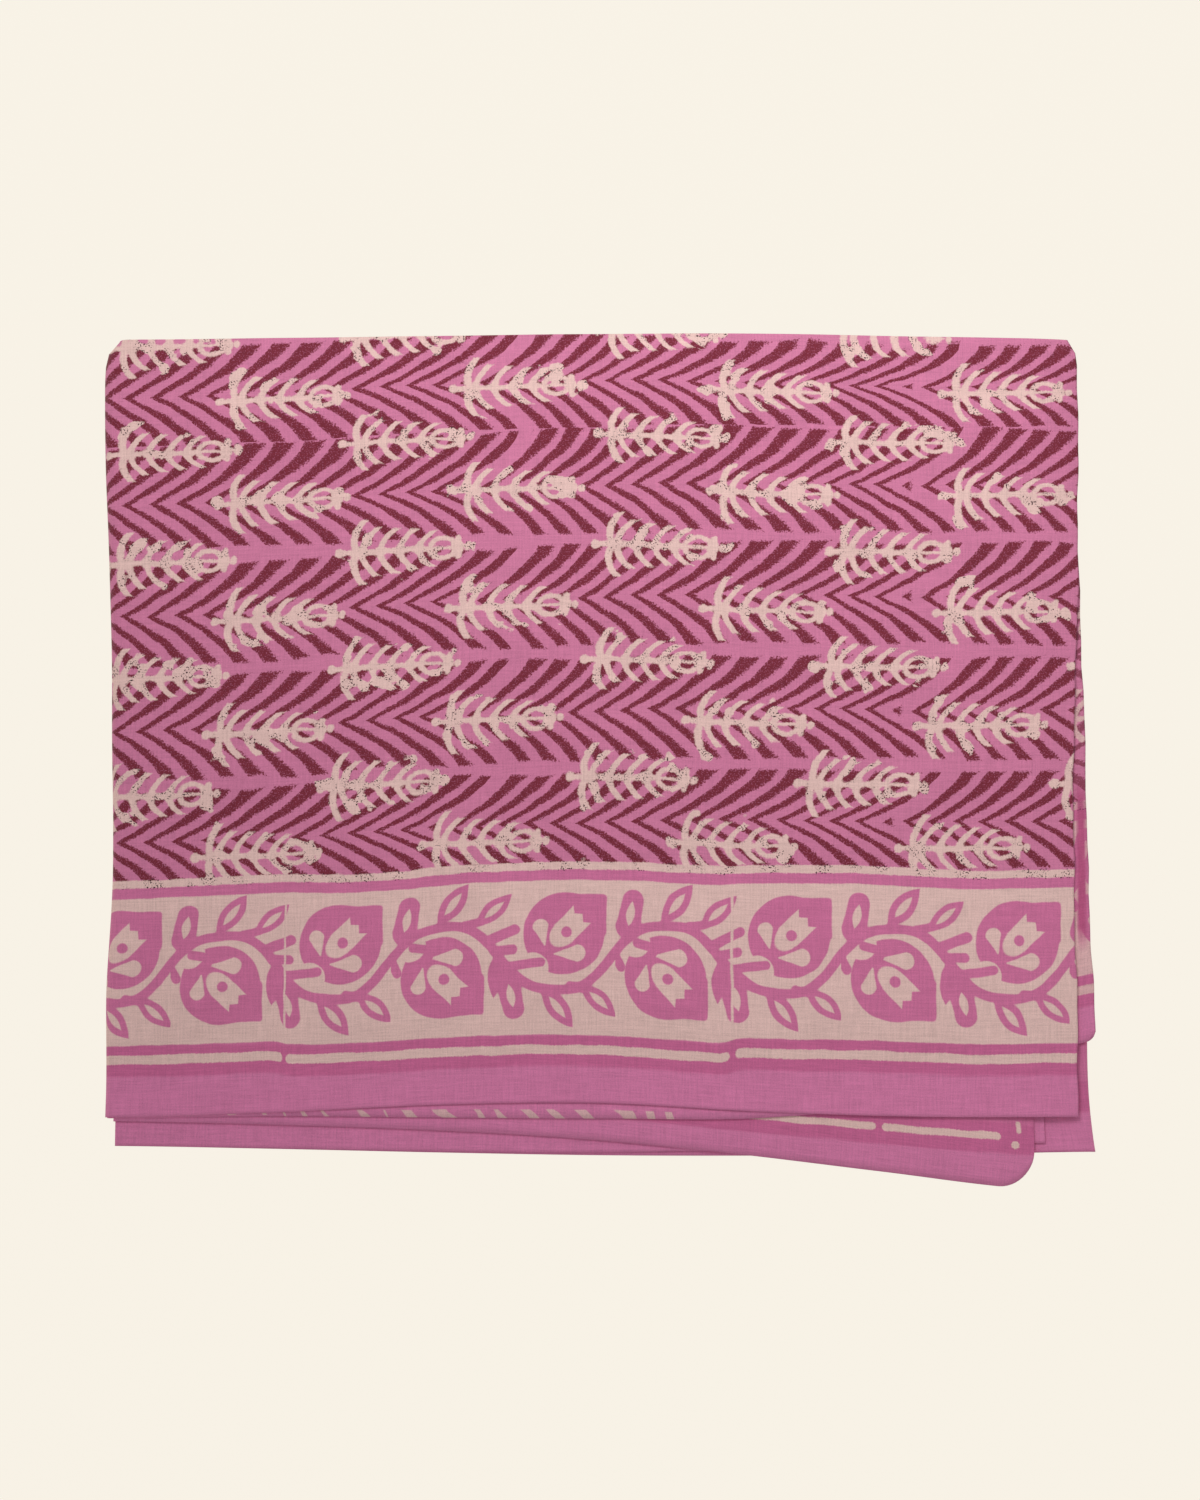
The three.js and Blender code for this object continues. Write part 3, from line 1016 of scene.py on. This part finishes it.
# %% A bud, both ways up
bud_x = vine_x - 50 - turned * 122
bud_y = vine_y * way_up * -1
bud_point = point_at(bud_x, bud_y)
corner = joined(22.5 - abs(bud_x - 20), 20 - abs(bud_y - 38.5), 6) * -1
bud = joined(disc(bud_point, (0, 20), 40.5), corner, 4)
bud = most(bud, disc(bud_point, (-31, -14), 16) * -1)
print("bud drawn")

# %% The open flower in the bud
petals = least(
    bar(bud_point, (-9.5, -0.3), (13, 0.3), 0.8, 8.6),
    bar(bud_point, (-19, 9.5), (-23, 27), 0.8, 7.6),
)
from_base = vector_step("SUBTRACT", bud_point, (-11.5, 9.5))[0]
out_x = vector_step("DOT_PRODUCT", from_base, (0.713, 0.7))[1]
out_y = vector_step("DOT_PRODUCT", from_base, (-0.7, 0.713))[1]
bulb = vector_step("LENGTH", point_at((out_x - 18) / 18.5, out_y / 12))[1] * 12 - 12
teeth = abs(repeat(out_y + 6.3, 12.6) - 6.3) * 0.85
flower_top = most(abs(out_y) - 12.3, abs(out_x - 28) - 14 + teeth)
flower = most(least(bulb, flower_top), disc(bud_point, (2.5, 21.5), 5.4) * -1)
vine = least(vine, most(bud, least(petals, flower) * -1))
vine = vine + (fray_border - 0.5) * 1.8
print("flower drawn")

# %% [markdown]
# ## The border's lines
#
# Two plain lines run along the border, one near the open edge and one against the
# zigzags. The lower line and the vine break off where two lengths of the block met. On
# the inner end that line stops short, with two stray spots beyond it, and beneath the
# top layer some strokes of paste strayed on to the margin.

# %% Lines along the border
LINE_RADIUS, TOP_LINE_RADIUS, LINE_GAP, VINE_GAP = 4.6, 3.9, 7, 1.2
BAND_LOW, BAND_HIGH = 71, 222.5
half_block = JOINT_PITCH / 2
line_reach = half_block - LINE_GAP
from_middle = abs(repeat(border_x - FIRST_JOINT, JOINT_PITCH) - half_block)
low_line = least(
    most(abs(border_y - LOW_LINE) - LINE_RADIUS, from_middle - line_reach),
    disc(point_at(from_middle, border_y - LOW_LINE), (line_reach, 0), LINE_RADIUS),
)
# On the inner end the line is thinner and ends round, and the vine's band starts higher.
has_end = beyond(past_line, FAR_BEFORE + 100)
low_line = low_line + has_end
end_point = point_at(past_line, border_y)
low_line = least(most(low_line, past_line + 4), disc(end_point, (-4, LOW_LINE), 3.6))
spots = least(bar(end_point, (18, 63), (17, 71), 2.2), disc(end_point, (14, 49), 4))
vine = most(vine, from_middle - half_block + VINE_GAP)
band = most(BAND_LOW + has_end * 8 - border_y, border_y - BAND_HIGH, past_line)
top_line = abs(border_y - TOP_LINE) - TOP_LINE_RADIUS
in_border = inside(most(band, vine * -1) + (fray_border - 0.5) * 1.2, 1.2)
lines = least(low_line, spots, top_line)
lines = inside(lines + (fray_border - 0.5) * 2.2 + (blot - 0.5) * 2, 1.2)
strokes = repeat(border_x + border_y * (region + 0.4) + (region - 0.5) * 60, 28) - 14
strokes = abs(strokes) - 4.6 - (blot - 0.5) * 12 + inside(border_x - 390, 40) * 2
strokes = inside(most(strokes, abs(border_y - 14) - 5.5)) * stray
print("lines drawn")

# %% [markdown]
# ## Dye and paste, laid over each other
#
# The ground is pink, a little different in the field, in the border and along the
# edge, and darkened by a band of painted shadow beside the top layer's right edge.
# Maroon goes over it, then the cream of the pasted shapes, then dark specks along their
# edges. Each shape becomes a share from 0 to 1, which mixes one more colour in.

# %% Colours
def linear(channel):
    """One channel of a colour card, from 0 to 255, as an amount of light."""
    share = channel / 255
    return share / 12.92 if share < 0.04045 else ((share + 0.055) / 1.055) ** 2.4


def dye(red, green, blue):
    return (linear(red), linear(green), linear(blue), 1)


PINK, BORDER_PINK = dye(218, 129, 166), dye(218, 120, 164)
PALE_PINK, DEEP_PINK = dye(226, 131, 176), dye(213, 110, 157)
# A darker pink for the painted shadow beside the top layer's right edge.
SHADOW_PINK = dye(196, 92, 136)
MAROON, CREAM, SPECK = dye(126, 42, 58), dye(240, 201, 194), dye(62, 36, 40)


def blend(first, second, share, kind="MIX"):
    node = tree.nodes.new("ShaderNodeMix")
    node.data_type = "RGBA"
    node.blend_type = kind
    put(share, node.inputs["Factor"])
    for value, socket in zip((first, second), (node.inputs["A"], node.inputs["B"])):
        if isinstance(value, tuple):
            socket.default_value = value
        else:
            tree.links.new(value, socket)
    return node.outputs["Result"]


in_field = beyond(border_y, TOP_LINE + 1)
dye_clouds = three(noise(cloth_place, 0.03, 3))
streaks = one(noise(cloth_place, 1.0, 2, stretch=(0.012, 0.35, 1)))
ground = blend(BORDER_PINK, PINK, in_field)
ground = blend(ground, PALE_PINK, inside(border_y - 41 + (streaks - 0.5) * 6, 6))
deep_band = inside(abs(border_y - 55) - 15 + (streaks - 0.5) * 6, 3)
ground = blend(ground, DEEP_PINK, deep_band)
# Painted shadow: darker pink beside the top layer's right edge.
ground = blend(ground, SHADOW_PINK, painted_shadow)
print("ground colours ready")

# %% Which colour shows where
maroon_share = inside(zigzag, 1.6)
dry = inside(one(noise(cloth_place, 1.3, 1)) * 10 - 3.8, 1) * 0.5
maroon_share = maroon_share * (1 - dry)
fern_share = inside(fern, 1.4) * beyond(border_y, TOP_LINE - 3)
# No cream shows in the painted shadow band.
cream_share = most(in_border, lines, fern_share, strokes) * (1 - painted_shadow)
speck_noise = one(noise(cloth_place, 1.0, 1))
speck_patch = inside(0.53 - blot, 0.1) * beyond(border_y, TOP_LINE - 5)
near_fern = inside(abs(fern + 1.6) - 2.4, 1)
near_line = inside(abs(top_line + 1) - 2.6, 1)
speck_share = inside(0.585 - speck_noise, 0.04) * speck_patch * inside(stripe - 2, 1)
speck_share = speck_share * most(near_fern, near_line)
color = blend(ground, MAROON, maroon_share)
color = blend(color, CREAM, cream_share)
color = blend(color, SPECK, speck_share)
color = blend(color, ground, on_reverse * 0.22)

# The threads' own tones darken or lighten all of it.
weft_slub = one(noise(cloth_place, 1.0, 1, stretch=(0.07, 1.1, 1)))
warp_slub = one(noise(cloth_place, 1.0, 1, stretch=(1.1, 0.07, 1)))
mottle = one(noise(cloth_place, 1.3, 2))
tone = 0.37 + weft_slub * 0.3 + warp_slub * 0.3 + mottle * 0.4
tone = tone + dye_clouds[0] * 0.14 + streaks * 0.12
shaded = blend(color, point_at(tone, tone, tone), 1, kind="MULTIPLY")
tree.links.new(shaded, finish.inputs["Base Color"])
print("colours laid")

# %% [markdown]
# ## The weave
#
# The cotton is a plain weave: each thread goes over one and under the next, and some
# are thicker than others. That relief is far too fine for the mesh, so Bump nodes give
# it, together with a slow unevenness of the whole surface. Cotton is dull, with a faint
# sheen from its loose fibres.

# %% Threads
THREAD = 0.42


def set_inputs(node, values):
    for name, value in values.items():
        node.inputs[name].default_value = value


def relief(height, strength, distance):
    node = tree.nodes.new("ShaderNodeBump")
    set_inputs(node, {"Strength": strength, "Distance": distance})
    put(height, node.inputs["Height"])
    return node


u_wave = compute("SINE", along_cloth * (math.pi / THREAD))
v_wave = compute("SINE", across_cloth * (math.pi / THREAD))
over = u_wave * v_wave
threads = abs(u_wave) * 0.5 + abs(v_wave) * 0.5 + over * 0.3
bump = relief(threads + weft_slub * 0.8 + warp_slub * 0.8, 0.35, 0.12 * MM)
soft = relief(dye_clouds[1], 0.5, 1.5 * MM)
tree.links.new(soft.outputs["Normal"], bump.inputs["Normal"])
tree.links.new(bump.outputs["Normal"], finish.inputs["Normal"])
set_inputs(finish, {"Roughness": 0.92, "Specular IOR Level": 0.25})
set_inputs(finish, {"Sheen Weight": 0.15, "Sheen Roughness": 0.5})
cloth_mesh.materials.append(cotton)
print(len(tree.nodes), "nodes in the cotton")

# %% [markdown]
# ## The camera
#
# The cloth is seen from nearly straight above, with the front edge nearest.

# %% Camera
CAMERA_ELEVATION = math.radians(84)
CAMERA_DISTANCE = 3.0
CAMERA_TARGET = Vector((0, 3.5 * MM, 14 * MM))
VIEW_HEIGHT = 879 * MM
SENSOR = 36


def aim(thing, place, direction):
    thing.location = place
    thing.rotation_mode = "QUATERNION"
    thing.rotation_quaternion = direction.to_track_quat("-Z", "Y")


camera_data = bpy.data.cameras.new("camera")
camera_data.sensor_width = SENSOR
camera_data.lens = SENSOR * CAMERA_DISTANCE / VIEW_HEIGHT
camera = add_object("camera", camera_data)
back = Vector((0, -math.cos(CAMERA_ELEVATION), math.sin(CAMERA_ELEVATION)))
aim(camera, CAMERA_TARGET + back * CAMERA_DISTANCE, -back)
bpy.context.scene.camera = camera
print("lens", round(camera_data.lens, 1), "mm")

# %% [markdown]
# ## Floor and light
#
# The floor is a pale sheet that gives off its own light, so no shadow shows on it. An
# even sky lights the cloth from everywhere. One soft lamp behind it, turned partly away,
# lets the light fall off towards the front.

# %% Floor
FLOOR_REACH = 20
floor_mesh = bpy.data.meshes.new("floor")
square = [(-1, -1), (1, -1), (1, 1), (-1, 1)]
floor_corners = [(x * FLOOR_REACH, y * FLOOR_REACH, 0) for x, y in square]
floor_mesh.from_pydata(floor_corners, [], [(0, 1, 2, 3)])
floor = add_object("floor", floor_mesh)
paper = bpy.data.materials.new("pale_floor")
paper.use_nodes = True
paper_finish = paper.node_tree.nodes["Principled BSDF"]
set_inputs(paper_finish, {
    "Base Color": (0.01, 0.01, 0.01, 1),
    "Emission Color": dye(248, 242, 230),
    "Emission Strength": 0.992,
    "Specular IOR Level": 0,
    "Roughness": 1,
})
floor_mesh.materials.append(paper)
print("floor laid")

# %% Sky and lamp
SKY_STRENGTH, WHITE = 0.446, (1, 1, 1, 1)
LAMP_PLACE = Vector((-0.13, 0.51, 0.96))
LAMP_FACES = Vector((0.39, 0.253, -0.457))
LAMP_WIDTH, LAMP_HEIGHT, LAMP_WATTS = 0.53, 0.44, 8.25

world = bpy.data.worlds.new("soft_light")
world.use_nodes = True
set_inputs(world.node_tree.nodes["Background"], {"Strength": SKY_STRENGTH, "Color": WHITE})
bpy.context.scene.world = world
bpy.context.scene.view_settings.view_transform = "Standard"

lamp_data = bpy.data.lights.new("softbox", "AREA")
lamp_data.shape = "RECTANGLE"
lamp_data.size = LAMP_WIDTH
lamp_data.size_y = LAMP_HEIGHT
lamp_data.energy = LAMP_WATTS
lamp = add_object("softbox", lamp_data)
lamp.visible_camera = False
aim(lamp, LAMP_PLACE, LAMP_FACES)
print("lamp of", LAMP_WATTS, "watts")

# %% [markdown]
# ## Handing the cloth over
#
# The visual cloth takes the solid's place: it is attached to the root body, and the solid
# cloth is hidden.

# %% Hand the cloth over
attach(cloth, "root")
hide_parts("cloth")
